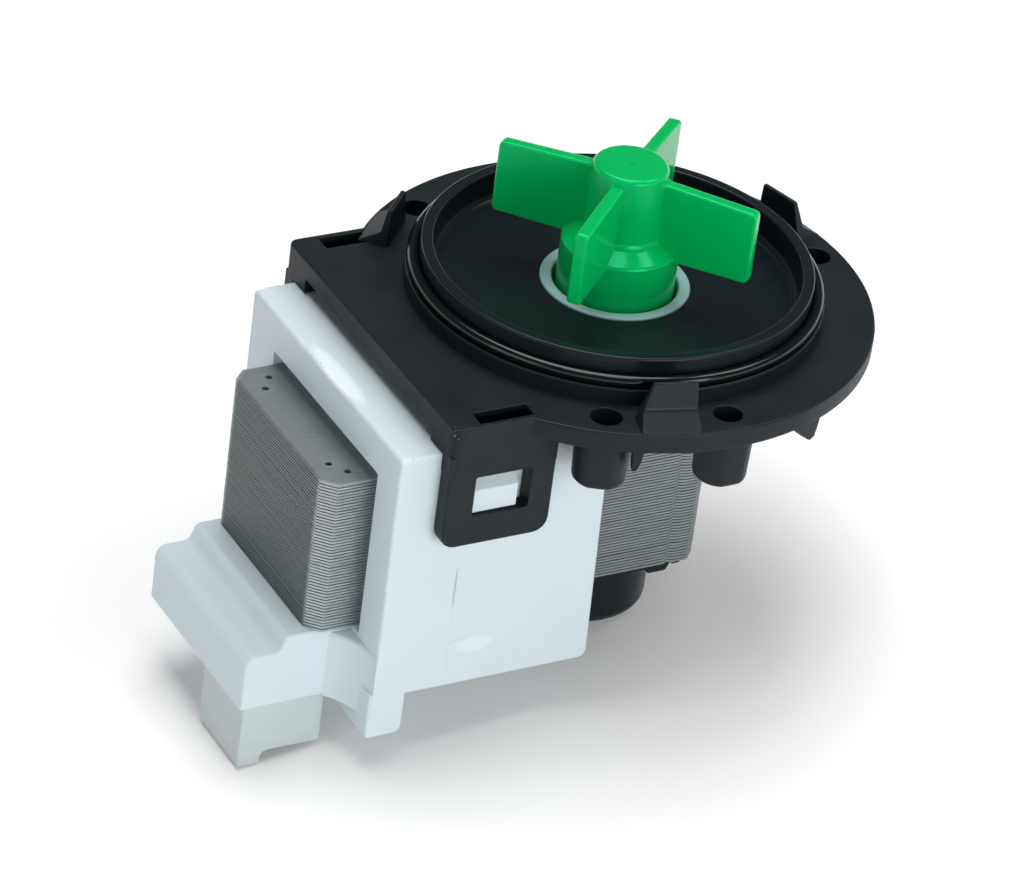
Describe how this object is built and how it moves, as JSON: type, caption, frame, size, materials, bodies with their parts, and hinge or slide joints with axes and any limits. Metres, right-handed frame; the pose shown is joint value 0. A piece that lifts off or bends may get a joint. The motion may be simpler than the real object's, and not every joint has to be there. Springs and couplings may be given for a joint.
{
  "type": "washer drain pump",
  "caption": "Washer drain pump motor with a round sealing flange, bladed impeller, laminated core, clipped white coil housing and a connector socket.",
  "frame": {"origin": "on the rotor's axis, in the plane of the flange's face", "axes": "+Z along the rotor's axis out of the impeller; +X away from the coils and the connector, along the object's length"},
  "size_m": [0.1102, 0.084, 0.0899],
  "materials": {
    "black_plastic": "satin glass-filled moulding",
    "seal_rubber": "glossy, greased",
    "cap_plastic": "satin, slightly translucent",
    "mount_rubber": "matt",
    "bearing_bush": "sintered, matt",
    "white_plastic": "satin moulding",
    "steel_sheets": "rolled sheet with sheared edges",
    "bobbin_plastic": "satin",
    "copper_wire": "enamelled wire",
    "socket_plastic": "satin, slightly translucent",
    "terminal_brass": "tinned",
    "shaft_steel": "ground",
    "magnet_ferrite": "matt",
    "washer_plastic": "satin",
    "green_plastic": "satin to glossy moulding"
  },
  "bodies": {
    "root": {"flange_housing": "black_plastic", "spigot_seal": "seal_rubber", "bearing_cap": "cap_plastic", "upper_bearing_mount": "mount_rubber", "upper_bearing": "bearing_bush", "lower_bearing_mount": "mount_rubber", "lower_bearing": "bearing_bush", "stator_housing": "white_plastic", "core_pack": "steel_sheets", "front_bobbin": "bobbin_plastic", "back_bobbin": "bobbin_plastic", "front_winding": "copper_wire", "back_winding": "copper_wire", "connector_socket": "socket_plastic", "front_terminal": "terminal_brass", "back_terminal": "terminal_brass"},
    "rotor": {"shaft": "shaft_steel", "magnet_carrier": "bobbin_plastic", "rotor_magnet": "magnet_ferrite", "lower_thrust_washer": "washer_plastic", "upper_thrust_washer": "washer_plastic", "drive_dog": "washer_plastic"},
    "impeller": {"impeller": "green_plastic", "damper_pads": "mount_rubber", "hub_cap": "green_plastic"}
  },
  "joints": [
    {"name": "rotor_spin", "type": "hinge", "parent": "root", "child": "rotor", "pos_m": [0, 0, -0.0285], "axis": [0, 0, 1], "continuous": true},
    {"name": "impeller_play", "type": "hinge", "parent": "rotor", "child": "impeller", "pos_m": [0, 0, 0.012], "axis": [0, 0, 1], "range_deg": [-106, 106]}
  ]
}
